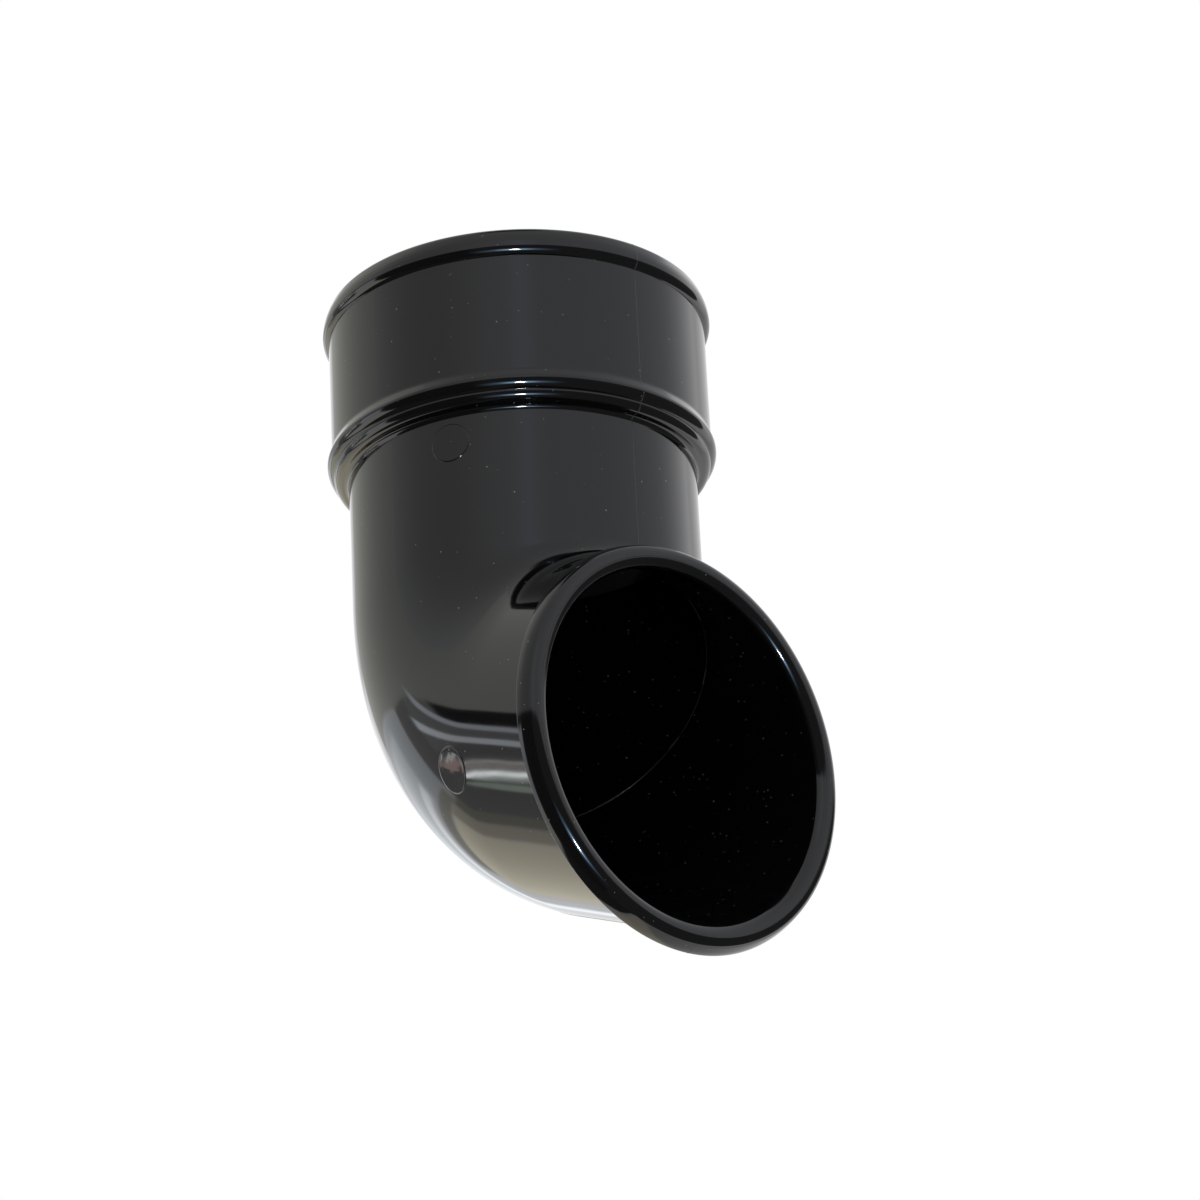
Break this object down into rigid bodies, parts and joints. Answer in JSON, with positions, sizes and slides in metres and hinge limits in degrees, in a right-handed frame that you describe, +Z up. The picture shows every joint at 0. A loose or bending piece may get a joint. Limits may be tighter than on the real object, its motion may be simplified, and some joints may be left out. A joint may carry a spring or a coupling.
{
  "type": "downpipe shoe",
  "caption": "Moulded shoe for the foot of a round downpipe: a beaded socket over a bend whose outlet, cut off upright and lipped, throws rainwater clear of the wall.",
  "frame": {"origin": "centre of the socket's seat, where the end of the downpipe stops", "axes": "+Z up along the socket's axis, out of its open end; -Y forwards, the way the outlet throws the water; X across, with the shoe symmetric about X = 0"},
  "size_m": [0.0756, 0.0823, 0.1447],
  "materials": {
    "black_plastic": "glossy, as it leaves a polished mould"
  },
  "bodies": {
    "root": {"downpipe_shoe": "black_plastic"}
  },
  "joints": []
}
